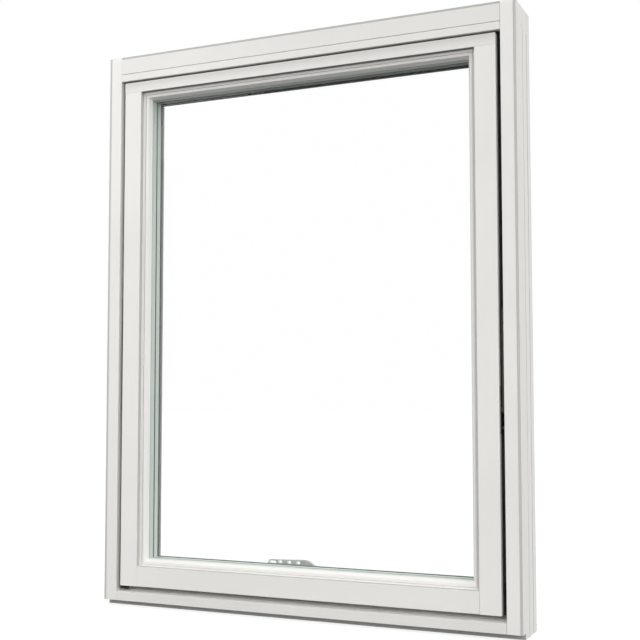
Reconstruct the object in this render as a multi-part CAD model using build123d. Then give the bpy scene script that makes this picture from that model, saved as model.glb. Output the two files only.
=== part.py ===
from build123d import *
import os

os.makedirs("parts", exist_ok=True)

# All lengths are in mm. Depth 0 is the outside face of the frame and depth grows towards the room.

# Outer frame
frame_width = 980.0
frame_height = 1280.0
frame_depth = 115.0
edge_step_depth = 1.4
edge_step_side = 6.0
edge_step_top = 5.3
lip_depth = 22.0
lip_height = 12.2
jamb_face = 26.5
jamb_arris = 1.2
head_face = 35.3
head_strip_face = 18.0
head_strip_depth = 45.0
head_strip_drop = 4.0
head_joint = 1.2
end_joint = 0.4
joint_depth = 5.0
sill_face = 21.2
sill_slope_rise = 7.0
drip_groove = 5.0
drip_groove_setback = 9.0
side_groove_depth = 87.0
side_groove_width = 4.0
side_groove_cut = 3.0
side_line_depth = 54.0
side_line_width = 3.0
side_line_cut = 2.0
arris_round = 1.5
screw_sink_radius = 4.5
screw_sink_depth = 1.5
screw_sink_drop = 40.0
screw_sink_setback = 52.7

# Sash in the frame
side_gap = 10.6
top_gap = 4.6
bottom_gap = 12.9
sash_recess = 1.0
sash_thickness = 77.0
stile_face = 44.2
top_rail_face = 24.2
bottom_rail_face = 46.7
sash_round = 1.5
sash_inner_round = 0.5
rail_joint = 0.3
stop_lap = 12.0
seal_thickness = 4.0
seal_width = 8.0
seal_setback = 2.0
corner_pad_length = 13.0
corner_pad_height = 7.5
corner_pad_depth = 12.0
corner_pad_setback = 6.0

# Glazing
bead_recess = 11.0
rebate_step = 6.0
rebate_step_bottom = 2.5
bead_width = 12.0
bead_depth = 12.0
bead_flat_width = 6.7
bead_lip = 1.0
bead_flat_fall = 1.0
bead_joint = 0.7
pane_thickness = 4.0
cavity = 16.0
pane_edge_clearance = 2.0
spacer_height = 7.0
spacer_edge = 3.0
gasket_depth = 4.0
shoulder_cover = 13.0
shoulder_cover_top = 14.5
shoulder_cover_bottom = 11.5
gasket_cover_bottom = 13.3

# Pivot fittings in the side gaps
fitting_setback = 10.0
plate_thickness = 2.0
arm_thickness = 4.0
arm_width = 20.0
arm_length = 220.0
arm_bottom_height = 441.0
arm_washer = 1.0
pin_radius = 4.0
pin_collar = 7.0
pin_play = 0.1
frame_plate_length = 110.0
frame_plate_width = 27.0
sash_plate_length = 96.0
plate_to_track = 3.0
track_width = 16.0
track_wall = 1.5
track_height = 6.0
track_length = 500.0
track_top_gap = 8.0
shoe_length = 34.0
shoe_play = 0.6
shoe_plate = 2.0
shoe_top_gap = 14.0

# Handle on the bottom rail
rose_width = 32.0
rose_height = 40.0
rose_thickness = 8.0
rose_round = 6.0
handle_axis_height = 83.0
neck_radius = 8.0
neck_length = 24.0
lever_thickness = 8.0
lever_reach = 119.0
lever_crown = 38.0
lever_rise = 30.5
lever_tip_drop = 2.5
lever_tip_round = 4.0
lever_height = 17.0
lever_shoulder = 17.5
lever_shoulder_drop = 2.3
lever_hip = 7.0
lever_hip_drop = 9.0
hub_radius = 12.0
handle_round = 2.0
grip_count = 3
grip_pitch = 22.5
grip_width = 9.5
grip_height = 6.4
grip_drop = 3.6
grip_start = 44.0
end_grip_width = 17.0
end_grip_height = 5.6
end_grip_drop = 2.8
end_wall = 2.9

# Positions that follow from the sizes above
half_width = frame_width / 2
front_x = half_width - edge_step_side
reveal_x = front_x - jamb_face
front_top = frame_height - edge_step_top
head_line = front_top - head_face
strip_bottom = head_line - head_strip_face
sill_front_top = lip_height + sill_face
sash_x = reveal_x - side_gap
sash_top = strip_bottom - top_gap
sash_bottom = sill_front_top + bottom_gap
sash_back = sash_recess + sash_thickness
stop_front = sash_back + seal_thickness
stop_x = sash_x - stop_lap
stop_top = sash_top - stop_lap
stop_bottom = sash_bottom + stop_lap
face_x = sash_x - stile_face
face_top = sash_top - top_rail_face
face_bottom = sash_bottom + bottom_rail_face
rebate_x = face_x - rebate_step
rebate_top = face_top - rebate_step
rebate_bottom = face_bottom + rebate_step_bottom
step_depth = sash_recess + bead_recess
glass_front = step_depth + bead_depth
glass_back = glass_front + 3 * pane_thickness + 2 * cavity
seat_depth = glass_back + gasket_depth
sight_x = rebate_x - bead_width
sight_top = rebate_top - bead_width
sight_bottom = rebate_bottom + bead_width
shoulder_x = rebate_x - shoulder_cover
shoulder_top = rebate_top - shoulder_cover_top
shoulder_bottom = rebate_bottom + shoulder_cover_bottom
pane_x = rebate_x - pane_edge_clearance
pane_top = rebate_top - pane_edge_clearance
pane_bottom = rebate_bottom + pane_edge_clearance

# The origin is the middle of the frame's flat underside
base_shift = Pos(0, -(lip_depth + frame_depth) / 2, 0)


def upright(points, low, high):
    """Extrude a plan section, given in width and depth, from one height to another."""
    return Pos(0, 0, low) * extrude(make_face(Polyline(points, close=True)), amount=high - low)


def along(points, left, right):
    """Extrude a cross section, given in depth and height, from one side to the other."""
    face = Plane.YZ * make_face(Polyline(points, close=True))
    return Pos(left, 0, 0) * extrude(face, amount=right - left)


def block(x0, x1, y0, y1, z0, z1):
    """Rectangular block between two corners."""
    centre = Pos((x0 + x1) / 2, (y0 + y1) / 2, (z0 + z1) / 2)
    return centre * Box(abs(x1 - x0), abs(y1 - y0), abs(z1 - z0))


def ring(outer, inner, y0, y1):
    """Rectangular ring in the window plane; each rectangle is half width, low and high."""
    whole = block(-outer[0], outer[0], y0, y1, outer[1], outer[2])
    return whole - block(-inner[0], inner[0], y0, y1, inner[1], inner[2])


def window_rectangle(size, depth):
    """Rectangle face in the window plane at a depth."""
    x, low, high = size
    wire = Polyline((-x, depth, low), (x, depth, low), (x, depth, high), (-x, depth, high), close=True)
    return make_face(wire)


def both_sides(name, solid):
    """Export a right-hand piece and its mirror image on the left."""
    export(name + "_right", solid)
    export(name + "_left", mirror(solid, about=Plane.YZ))


def export(name, solid):
    """Write one node."""
    export_step(base_shift * solid, "parts/" + name + ".step")


# Jambs: rebated section with a stepped outer arris, a closing stop and fine grooves on the outer side
groove_back = side_groove_depth + side_groove_width
line_back = side_line_depth + side_line_width
jamb = upright(
    [
        (reveal_x, 0),
        (front_x, 0),
        (front_x, edge_step_depth),
        (half_width, edge_step_depth),
        (half_width, frame_depth),
        (stop_x, frame_depth),
        (stop_x, stop_front),
        (reveal_x, stop_front),
    ],
    0,
    frame_height,
)
groove_x = half_width - side_groove_cut
line_x = half_width - side_line_cut
jamb = jamb - block(groove_x, half_width, side_groove_depth, groove_back, 0, frame_height)
jamb = jamb - block(line_x, half_width, side_line_depth, line_back, 0, frame_height)
jamb = jamb - block(reveal_x, half_width, 0, lip_depth, 0, lip_height)
jamb = jamb - block(reveal_x, half_width, 0, edge_step_depth, front_top, frame_height)
reveal_edge = jamb.edges().filter_by(Axis.Z).group_by(Axis.Y)[0].sort_by(Axis.X)[0]
jamb = fillet(reveal_edge, jamb_arris)
sink_place = Pos(half_width - screw_sink_depth / 2, screw_sink_setback, frame_height - screw_sink_drop)
screw_sink = sink_place * Rot(0, 90, 0) * Cylinder(screw_sink_radius, screw_sink_depth)
both_sides("frame_jamb", jamb - screw_sink)

# Head: beam between the jambs with a stepped top arris, recessed underneath to take the front strip
head_under = strip_bottom + head_strip_drop
head = along(
    [
        (0, head_line),
        (0, front_top),
        (edge_step_depth, front_top),
        (edge_step_depth, frame_height),
        (stop_front, frame_height),
        (stop_front, head_under),
        (head_strip_depth, head_under),
        (head_strip_depth, head_line),
    ],
    -reveal_x,
    reveal_x,
)
joint_slit = block(reveal_x - end_joint, reveal_x, 0, joint_depth, 0, frame_height)
joint_slits = joint_slit + mirror(joint_slit, about=Plane.YZ)
head_stop = block(-stop_x, stop_x, stop_front, frame_depth, stop_top, frame_height)
export("frame_head", head - joint_slits + head_stop)

head_strip = block(-reveal_x, reveal_x, 0, head_strip_depth, strip_bottom, head_line)
strip_nose = head_strip.edges().filter_by(Axis.X).group_by(Axis.Y)[0].sort_by(Axis.Z)[0]
head_strip = fillet(strip_nose, arris_round)
head_strip_joint = block(-reveal_x, reveal_x, 0, joint_depth, head_line - head_joint, head_line)
export("frame_head_strip", head_strip - head_strip_joint - joint_slits)

# Sill: weathered top that falls outwards, drip groove under the lip, stop at the room side
groove_front = drip_groove_setback
groove_end = drip_groove_setback + drip_groove
sill = along(
    [
        (0, lip_height),
        (0, sill_front_top),
        (stop_front, sill_front_top + sill_slope_rise),
        (stop_front, 0),
        (lip_depth, 0),
        (lip_depth, lip_height),
    ],
    -reveal_x,
    reveal_x,
)
sill = sill - block(-reveal_x, reveal_x, groove_front, groove_end, lip_height, lip_height + drip_groove)
sill_nose = sill.edges().filter_by(Axis.X).group_by(Axis.Y)[0].sort_by(Axis.Z)[-1]
sill = fillet(sill_nose, arris_round)
sill_stop = block(-stop_x, stop_x, stop_front, frame_depth, 0, stop_bottom)
export("frame_sill", sill - joint_slits + sill_stop)

# Weather seals on the face of the stop, and a rubber pad under the lower left corner of the sash
seal_out = sash_x - seal_setback
seal_in = seal_out - seal_width
seal_top = sash_top - seal_setback
seal_low = sash_bottom + seal_setback
both_sides("weather_seal", block(seal_in, seal_out, sash_back, stop_front, seal_low, seal_top))
seal_above = block(-seal_in, seal_in, sash_back, stop_front, seal_top - seal_width, seal_top)
seal_below = block(-seal_in, seal_in, sash_back, stop_front, seal_low, seal_low + seal_width)
export("weather_seal_top", seal_above)
export("weather_seal_bottom", seal_below)
export(
    "corner_pad_left",
    block(
        -sash_x,
        -sash_x + corner_pad_length,
        corner_pad_setback,
        corner_pad_setback + corner_pad_depth,
        sash_bottom - corner_pad_height,
        sash_bottom,
    ),
)

# Sash stiles: rebated section that runs from the foot of the sash to the top rail
stile = upright(
    [
        (sash_x, sash_recess),
        (face_x, sash_recess),
        (face_x, step_depth),
        (rebate_x, step_depth),
        (rebate_x, seat_depth),
        (shoulder_x, seat_depth),
        (shoulder_x, sash_back),
        (sash_x, sash_back),
    ],
    sash_bottom,
    face_top,
)
stile_outer_edge = stile.edges().filter_by(Axis.Z).group_by(Axis.Y)[0].sort_by(Axis.X)[-1]
stile = fillet(stile_outer_edge, sash_round)
stile_inner_edge = stile.edges().filter_by(Axis.Z).group_by(Axis.Y)[0].sort_by(Axis.X)[0]
stile = fillet(stile_inner_edge, sash_inner_round)
slit_back = sash_recess + joint_depth
stile = stile - block(face_x, sash_x, sash_recess, slit_back, face_top - rail_joint, face_top)
stile_left = mirror(stile, about=Plane.YZ)
both_sides("sash_stile", stile)

# Top rail laps over the stiles; its rebated lower part is scribed between them
top_lap = block(-sash_x, sash_x, sash_recess, sash_back, face_top, sash_top)
top_lap_edges = top_lap.edges().filter_by(Axis.X).group_by(Axis.Y)[0]
top_lap = fillet(top_lap_edges.sort_by(Axis.Z)[-1], sash_round)
top_foot = along(
    [
        (step_depth, face_top),
        (step_depth, rebate_top),
        (seat_depth, rebate_top),
        (seat_depth, shoulder_top),
        (sash_back, shoulder_top),
        (sash_back, face_top),
    ],
    -face_x,
    face_x,
)
export("sash_rail_top", top_lap + (top_foot - stile - stile_left))

# Bottom rail is scribed between the stiles
bottom_rail = along(
    [
        (sash_recess, sash_bottom),
        (sash_recess, face_bottom),
        (step_depth, face_bottom),
        (step_depth, rebate_bottom),
        (seat_depth, rebate_bottom),
        (seat_depth, shoulder_bottom),
        (sash_back, shoulder_bottom),
        (sash_back, sash_bottom),
    ],
    -face_x,
    face_x,
)
rail_foot = bottom_rail.edges().filter_by(Axis.X).group_by(Axis.Y)[0].sort_by(Axis.Z)[0]
bottom_rail = fillet(rail_foot, sash_round)
rail_brow = bottom_rail.edges().filter_by(Axis.X).group_by(Axis.Y)[0].sort_by(Axis.Z)[-1]
bottom_rail = fillet(rail_brow, sash_inner_round)
rail_slit = block(face_x - rail_joint, face_x, sash_recess, slit_back, sash_bottom, face_bottom)
rail_slits = rail_slit + mirror(rail_slit, about=Plane.YZ)
export("sash_rail_bottom", bottom_rail - stile - stile_left - rail_slits)

# Glazing beads: one moulded ring, lofted to the glass, parted along the mitres
bead_front = step_depth + bead_lip
bevel_front = bead_front + bead_flat_fall
bead_outer = (rebate_x, rebate_bottom, rebate_top)
bead_bevel = (rebate_x - bead_flat_width, rebate_bottom + bead_flat_width, rebate_top - bead_flat_width)
bead_inner = (sight_x, sight_bottom, sight_top)
flat_hollow = loft([window_rectangle(bead_outer, bead_front), window_rectangle(bead_bevel, bevel_front)])
bevel_hollow = loft([window_rectangle(bead_bevel, bevel_front), window_rectangle(bead_inner, glass_front)])
bead_blank = block(-rebate_x, rebate_x, bead_front, glass_front, rebate_bottom, rebate_top)
bead_ring = bead_blank - flat_hollow - bevel_hollow
bead_edge = (rebate_x - bead_joint, rebate_bottom + bead_joint, rebate_top - bead_joint)
bead_ring = bead_ring - ring(bead_outer, bead_edge, bead_front, bead_front + joint_depth)


def mitred(corners):
    """Part of the bead ring inside a quadrilateral of the window plane."""
    face = make_face(Polyline([(x, bead_front, z) for x, z in corners], close=True))
    return bead_ring & extrude(face, amount=bead_depth, dir=(0, 1, 0))


outer_low = (rebate_x, rebate_bottom)
outer_high = (rebate_x, rebate_top)
inner_low = (sight_x, sight_bottom)
inner_high = (sight_x, sight_top)
both_sides("glazing_bead", mitred([outer_low, inner_low, inner_high, outer_high]))
top_corners = [(-rebate_x, rebate_top), (-sight_x, sight_top), inner_high, outer_high]
bottom_corners = [(-rebate_x, rebate_bottom), (-sight_x, sight_bottom), inner_low, outer_low]
export("glazing_bead_top", mitred(top_corners))
export("glazing_bead_bottom", mitred(bottom_corners))

# Triple glazing with two spacers, and the gasket it is bedded on
middle_front = glass_front + pane_thickness + cavity
inner_front = middle_front + pane_thickness + cavity
pane_depths = {"glass_outer": glass_front, "glass_middle": middle_front, "glass_inner": inner_front}
for pane_name, pane_front in pane_depths.items():
    pane = block(-pane_x, pane_x, pane_front, pane_front + pane_thickness, pane_bottom, pane_top)
    export(pane_name, pane)

spacer_inset = spacer_edge + spacer_height
spacer_out = (pane_x - spacer_edge, pane_bottom + spacer_edge, pane_top - spacer_edge)
spacer_in = (pane_x - spacer_inset, pane_bottom + spacer_inset, pane_top - spacer_inset)
export("glass_spacer_outer", ring(spacer_out, spacer_in, glass_front + pane_thickness, middle_front))
export("glass_spacer_inner", ring(spacer_out, spacer_in, middle_front + pane_thickness, inner_front))

gasket_out = (pane_x, pane_bottom, pane_top)
gasket_in = (shoulder_x, rebate_bottom + gasket_cover_bottom, shoulder_top)
export("glazing_gasket", ring(gasket_out, gasket_in, glass_back, seat_depth))

# Pivot fittings: frame plate, arm, sash plate and their pins in the side gap
arm_front = sash_recess + fitting_setback
arm_mid = arm_front + arm_width / 2
arm_out = reveal_x - plate_thickness - arm_washer
arm_in = arm_out - arm_thickness
arm_top = arm_bottom_height + arm_length
top_pin = arm_top - arm_width / 2
low_pin = arm_bottom_height + arm_width / 2
pin_hole = pin_radius + pin_play


def bar(x0, x1, depth, height, length, width):
    """Round-ended flat bar standing in the side gap."""
    shape = Plane.YZ * SlotOverall(length, width, rotation=90)
    return Pos(x0, depth, height) * extrude(shape, amount=x1 - x0)


def round_pin(x0, x1, depth, height, radius):
    """Cylinder across the side gap."""
    return Pos((x0 + x1) / 2, depth, height) * Rot(0, 90, 0) * Cylinder(radius, x1 - x0)


def bored(piece, height):
    """Piece with a pin hole at a height."""
    return piece - round_pin(sash_x, reveal_x, arm_mid, height, pin_hole)


arm = bar(arm_in, arm_out, arm_mid, (arm_top + arm_bottom_height) / 2, arm_length, arm_width)
both_sides("pivot_arm", bored(bored(arm, top_pin), low_pin))

frame_plate_low = top_pin - frame_plate_length / 2
frame_plate = block(
    reveal_x - plate_thickness,
    reveal_x,
    arm_front,
    arm_front + frame_plate_width,
    frame_plate_low,
    frame_plate_low + frame_plate_length,
)
both_sides("pivot_frame_plate", bored(frame_plate, top_pin))

sash_plate_low = low_pin - sash_plate_length / 2
sash_plate = block(
    sash_x,
    sash_x + plate_thickness,
    arm_front,
    arm_front + arm_width,
    sash_plate_low,
    sash_plate_low + sash_plate_length,
)
both_sides("pivot_sash_plate", bored(sash_plate, low_pin))

top_shank = round_pin(arm_in, reveal_x, arm_mid, top_pin, pin_radius)
top_washer = round_pin(arm_out, reveal_x - plate_thickness, arm_mid, top_pin, pin_collar)
low_shank = round_pin(sash_x, arm_out, arm_mid, low_pin, pin_radius)
low_washer = round_pin(sash_x + plate_thickness, arm_in, arm_mid, low_pin, pin_collar)
both_sides("pivot_pins", Compound([top_shank + top_washer, low_shank + low_washer]))

# Guide track on the jamb and the shoe at the top of the sash that runs in it
track_front = arm_front + frame_plate_width + plate_to_track
track_back = track_front + track_width
track_top = strip_bottom - track_top_gap
track_low = track_top - track_length
track = block(reveal_x - track_height, reveal_x, track_front, track_back, track_low, track_top)
track_bed = reveal_x - track_wall
track_slot = block(
    reveal_x - track_height,
    track_bed,
    track_front + track_wall,
    track_back - track_wall,
    track_low,
    track_top,
)
both_sides("guide_track", track - track_slot)

shoe_top = sash_top - shoe_top_gap
shoe = block(
    sash_x + shoe_plate,
    track_bed - shoe_play,
    track_front + track_wall + shoe_play,
    track_back - track_wall - shoe_play,
    shoe_top - shoe_length,
    shoe_top,
)
shoe_flange = block(sash_x, sash_x + shoe_plate, track_front, track_back, shoe_top - shoe_length, shoe_top)
both_sides("guide_shoe", shoe + shoe_flange)

# Handle: rose on the bottom rail and an arched lever pierced by finger grips
rose_depth = sash_back + rose_thickness
rose = block(
    -rose_width / 2,
    rose_width / 2,
    sash_back,
    rose_depth,
    handle_axis_height - rose_height / 2,
    handle_axis_height + rose_height / 2,
)
rose = fillet(rose.edges().filter_by(Axis.Y), rose_round)
rose = fillet(rose.faces().sort_by(Axis.Y)[-1].edges(), handle_round)
export("handle_rose", rose)

lever_top = handle_axis_height + lever_rise
lever_front = rose_depth + neck_length
tip_top = lever_top - lever_tip_drop
lever_low = lever_top - lever_height
lever_outline = Spline(
    [
        (hub_radius, handle_axis_height),
        (-lever_hip, lever_top - lever_hip_drop),
        (-lever_shoulder, lever_top - lever_shoulder_drop),
        (-lever_crown, lever_top),
        (-lever_reach + lever_tip_round, tip_top),
    ],
    tangents=[(0, 1), (-1, -lever_tip_drop / lever_reach)],
)
tip_arc = ThreePointArc(
    lever_outline @ 1,
    (-lever_reach, (tip_top + lever_low) / 2),
    (-lever_reach + lever_tip_round, lever_low),
)
lever_under = Spline(
    [tip_arc @ 1, (-lever_crown, lever_low), (0, handle_axis_height - hub_radius)],
    tangents=[(1, 0), (1, 0)],
)
hub_arc = RadiusArc(lever_under @ 1, lever_outline @ 0, -hub_radius)
lever_face = make_face([lever_outline, tip_arc, lever_under, hub_arc])
for grip in range(grip_count):
    grip_place = Pos(-grip_start - grip_pitch * grip, lever_top - grip_drop - grip_height / 2)
    lever_face = lever_face - grip_place * SlotOverall(grip_width, grip_height)
end_grip_x = -lever_reach + end_wall + end_grip_width / 2
end_grip_z = tip_top - end_grip_drop - end_grip_height / 2
lever_face = lever_face - Pos(end_grip_x, end_grip_z) * SlotOverall(end_grip_width, end_grip_height)
lever_plane = Plane((0, lever_front, 0), x_dir=(1, 0, 0), z_dir=(0, -1, 0))
lever = extrude(lever_plane * lever_face, amount=-lever_thickness)
neck_place = Pos(0, (rose_depth + lever_front) / 2, handle_axis_height)
neck = neck_place * Rot(90, 0, 0) * Cylinder(neck_radius, neck_length)
export("handle_lever", lever + neck)
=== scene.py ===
import math

import bpy
from bpy.props import FloatProperty, FloatVectorProperty, IntProperty, PointerProperty
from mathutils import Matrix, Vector


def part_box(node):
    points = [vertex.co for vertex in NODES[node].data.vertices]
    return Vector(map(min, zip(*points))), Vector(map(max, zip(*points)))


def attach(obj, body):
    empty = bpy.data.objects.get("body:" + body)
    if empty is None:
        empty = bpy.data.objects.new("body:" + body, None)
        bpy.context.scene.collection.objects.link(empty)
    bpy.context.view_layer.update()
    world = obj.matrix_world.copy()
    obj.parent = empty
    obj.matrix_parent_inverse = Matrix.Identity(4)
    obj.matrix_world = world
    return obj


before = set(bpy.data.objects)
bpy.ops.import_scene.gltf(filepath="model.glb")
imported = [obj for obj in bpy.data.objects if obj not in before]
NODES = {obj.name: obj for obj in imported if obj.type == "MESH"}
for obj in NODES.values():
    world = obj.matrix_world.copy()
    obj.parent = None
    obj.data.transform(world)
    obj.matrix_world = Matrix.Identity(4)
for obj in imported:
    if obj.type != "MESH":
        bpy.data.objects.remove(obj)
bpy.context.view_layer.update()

bl_info = {
    "name": "Pivot window dressing",
    "version": (1, 0, 0),
    "blender": (4, 5, 0),
    "location": "View3D > Sidebar > Window",
    "description": "Finishes, screws, seals and studio for a timber pivot window",
    "category": "Object",
}

BODY = "root"
MM = 0.001
SIDES = {"left": -1.0, "right": 1.0}


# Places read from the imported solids, in metres

JAMB_LOW, JAMB_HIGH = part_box("frame_jamb_right")
STILE_LOW, STILE_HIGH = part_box("sash_stile_right")
RAIL_LOW, RAIL_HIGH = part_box("sash_rail_top")
BEAD_LOW, BEAD_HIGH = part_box("glazing_bead_right")
HEAD_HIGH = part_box("frame_head")[1]
STRIP_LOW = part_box("frame_head_strip")[0]
OUTER_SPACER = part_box("glass_spacer_outer")
INNER_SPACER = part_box("glass_spacer_inner")
FRONT = JAMB_LOW.y
SIDE_X = JAMB_HIGH.x
REVEAL_X = HEAD_HIGH.x
SASH_X = STILE_HIGH.x
WALL_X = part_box("sash_rail_bottom")[1].x
RAIL_FACE_FOOT = STILE_HIGH.z


# Where the paint changes, mostly for painted shade and light: widths, heights and depths behind the
# frame's face, in metres.
# A skin is the slack that lets a mask take in the whole of a face.

SKIN = 0.3 * MM
GAP_SKIN = 0.4 * MM
ARRIS_DEPTH = 2.0 * MM
SIDE_ARRIS = 5.9 * MM
TOP_ARRIS = 5.2 * MM
GROOVES = (53.0 * MM, 86.5 * MM)
GROOVE_WIDTH = 5.0 * MM
GROOVE_DEPTH = 4.0 * MM
GROOVE_TOP = JAMB_HIGH.z - 46.0 * MM
STOP_DEPTH = 80.0 * MM
UNDER_LIP_HEIGHT = 12.3 * MM
UNDER_LIP_DEPTH = 22.2 * MM
SILL_SLOPE = (32.2 * MM, 41.4 * MM)
RAIL_FACE_DEPTH = 4.0 * MM
RAIL_SHADOW_HEIGHT = 22.0 * MM
LEDGE_DEPTH = 11.8 * MM
LEDGE_BACK = 13.0 * MM
LEDGE_CORNER = 0.9 * MM
BROW_HEIGHT = 45.5 * MM
BROW_DEPTH = 7.0 * MM
BEAD_JOINT = 1.7 * MM
SHOULDER_DEPTH = 68.0 * MM
SHOULDER_END = 0.5 * MM
BUTYL_WIDTH = 1.1 * MM
SHADED_BAR = 8.0 * MM
BAR_SKIN = 0.1 * MM


# Where painted shade or light, or the darker paint of the sill's nose, sets in and where it is full, in
# metres

FOOT_SHADE = (0.55, 0.05)
REVEAL_SHADE = (10.0 * MM, 22.0 * MM)
STILE_SHADE = (7.0 * MM, 22.0 * MM)
TOP_GAP_SHADE = (4.0 * MM, 16.0 * MM)
WALL_SHADE = (0.0, 4.0 * MM)
NOSE_SHADE = (9.0 * MM, 0.0)
SILL_LIGHT = (6.0 * MM, 14.0 * MM)
BEAD_SHADE = (5.0 * MM, 10.0 * MM)
GASKET_LIT = (4.0 * MM, -25.0 * MM)


class WindowFinishes(bpy.types.PropertyGroup):
    """Colours and textures of the window's finishes, and the colours of painted shade and light on them.
    """

    paint: FloatVectorProperty(
        name="Paint", description="White paint of frame and sash", subtype="COLOR",
        default=(0.80, 0.79, 0.76),
    )
    # Painted shade in the stepped arris and grooves of the jambs
    step_shade: FloatVectorProperty(
        name="Step shade", description="Painted shade in the step and grooves of the jambs", subtype="COLOR",
        default=(0.50, 0.50, 0.48),
    )
    # Painted shade on the stiles' walls beside the beads, and darker lines along the left bead's joint and
    # the bottom rail's top edge
    wall_shade_and_joint: FloatVectorProperty(
        name="Wall shade and joint", description="Painted shade on walls beside the beads, and darker edges along them", subtype="COLOR",
        default=(0.50, 0.495, 0.475),
    )
    # Painted shadow that the head casts on the top rail
    head_shadow: FloatVectorProperty(
        name="Head shadow", description="Painted shadow of the head on the top rail", subtype="COLOR",
        default=(0.61, 0.605, 0.58),
    )
    # Painted shade under the frame's lip and in the step along the head's top
    lip_shade: FloatVectorProperty(
        name="Lip shade", description="Painted shade under the lip and in the head's step", subtype="COLOR",
        default=(0.45, 0.45, 0.43),
    )
    # Painted shade on the jambs' outer sides and towards the foot of the left jamb
    side_shade: FloatVectorProperty(
        name="Side shade", description="Painted shade on the outer sides and the left foot",
        subtype="COLOR", default=(0.755, 0.745, 0.715),
    )
    # Painted shade on the right stile's ledge and on the flat of the bead beside it
    ledge_shade: FloatVectorProperty(
        name="Ledge shade", description="Painted shade on the right stile's ledge and the bead beside it",
        subtype="COLOR", default=(0.66, 0.655, 0.63),
    )
    # Painted shade under the top rail, in its inner corner and on the stiles' edges behind the glass
    under_shade: FloatVectorProperty(
        name="Under shade", description="Painted shade under the top rail and on the stiles' inner edges",
        subtype="COLOR", default=(0.28, 0.278, 0.27),
    )
    # Paint that turns darker towards the sill's front edge
    nose_paint: FloatVectorProperty(
        name="Nose paint", description="Paint that darkens towards the sill's front edge", subtype="COLOR",
        default=(0.62, 0.615, 0.59),
    )
    # Painted light: paint lightened on the sill in the gap and on the top rail's ledge
    painted_light: FloatVectorProperty(
        name="Lit paint", description="Painted light on the sill in the gap and on the top rail's ledge",
        subtype="COLOR", default=(0.93, 0.92, 0.89),
    )
    # Painted shade that darkens the gaps round the sash with depth
    gap_shade: FloatVectorProperty(
        name="Gap shade", description="Painted shade deep in the gaps round the sash", subtype="COLOR",
        default=(0.12, 0.12, 0.117),
    )
    paint_roughness: FloatProperty(
        name="Paint roughness", description="Middle roughness of the paint", subtype="FACTOR",
        default=0.46, min=0.0, max=1.0,
    )
    grain_height: FloatProperty(
        name="Grain height", description="Height of the timber grain that shows through the paint",
        default=0.00012, unit="LENGTH",
    )
    glass: FloatVectorProperty(
        name="Glass", description="Faint tint of the panes", subtype="COLOR",
        default=(0.997, 0.999, 0.998),
    )
    glass_shine: FloatProperty(
        name="Glass shine", description="Share of the panes' mirror image that shows", subtype="FACTOR",
        default=0.15, min=0.0, max=1.0,
    )
    spacer: FloatVectorProperty(
        name="Spacer", description="Warm-edge spacer bars", subtype="COLOR", default=(0.58, 0.64, 0.59)
    )
    # Painted shade on the upper bar of the inner spacer
    shaded_spacer: FloatVectorProperty(
        name="Shaded spacer", description="Painted shade on the upper bar of the inner spacer", subtype="COLOR",
        default=(0.23, 0.26, 0.24),
    )
    butyl: FloatVectorProperty(
        name="Butyl", description="Sealant between spacer and pane", subtype="COLOR",
        default=(0.15, 0.18, 0.16),
    )
    # Black of gaskets and seals, also used as painted shade under the top rail
    rubber: FloatVectorProperty(
        name="Rubber", description="Gaskets and seals, and painted shade on the top rail's edge over the glass",
        subtype="COLOR", default=(0.022, 0.022, 0.022),
    )
    # Painted light on the glazing gasket where light reaches it
    lit_rubber: FloatVectorProperty(
        name="Lit rubber", description="Glazing gasket where light reaches it", subtype="COLOR",
        default=(0.17, 0.195, 0.18),
    )
    zinc: FloatVectorProperty(
        name="Zinc", description="Bright plated steel of pins, screws and frame plates", subtype="COLOR",
        default=(0.52, 0.53, 0.53),
    )
    black_zinc: FloatVectorProperty(
        name="Black zinc", description="Black passivated steel of arms and sash plates", subtype="COLOR",
        default=(0.062, 0.059, 0.052),
    )
    aluminium: FloatVectorProperty(
        name="Aluminium", description="Mill finish guide tracks", subtype="COLOR",
        default=(0.66, 0.67, 0.68),
    )
    nylon: FloatVectorProperty(
        name="Nylon", description="Sliding shoes", subtype="COLOR", default=(0.03, 0.03, 0.03)
    )
    handle: FloatVectorProperty(
        name="Handle", description="Satin metal of handle and rose", subtype="COLOR",
        default=(0.72, 0.765, 0.735),
    )


class WindowHardware(bpy.types.PropertyGroup):
    """Sizes of what repeats on the window."""

    screw_radius: FloatProperty(
        name="Screw radius", description="Radius of a fixing screw's head", default=0.0036,
        unit="LENGTH",
    )
    screw_height: FloatProperty(
        name="Screw height", description="Height of a head over what it holds", default=0.0009,
        unit="LENGTH",
    )
    recess_width: FloatProperty(
        name="Recess width", description="Width of the cross recess in a head", default=0.0009,
        unit="LENGTH",
    )
    track_screws: IntProperty(
        name="Track screws", description="Screws along each guide track", default=5, min=2
    )
    gap_seal_radius: FloatProperty(
        name="Gap seal radius", description="Radius of the bulb seal round the sash", default=0.0026,
        unit="LENGTH",
    )
    gap_seal_depth: FloatProperty(
        name="Gap seal depth", description="Distance of the bulb seal behind the frame's face",
        default=0.024, unit="LENGTH",
    )


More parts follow.
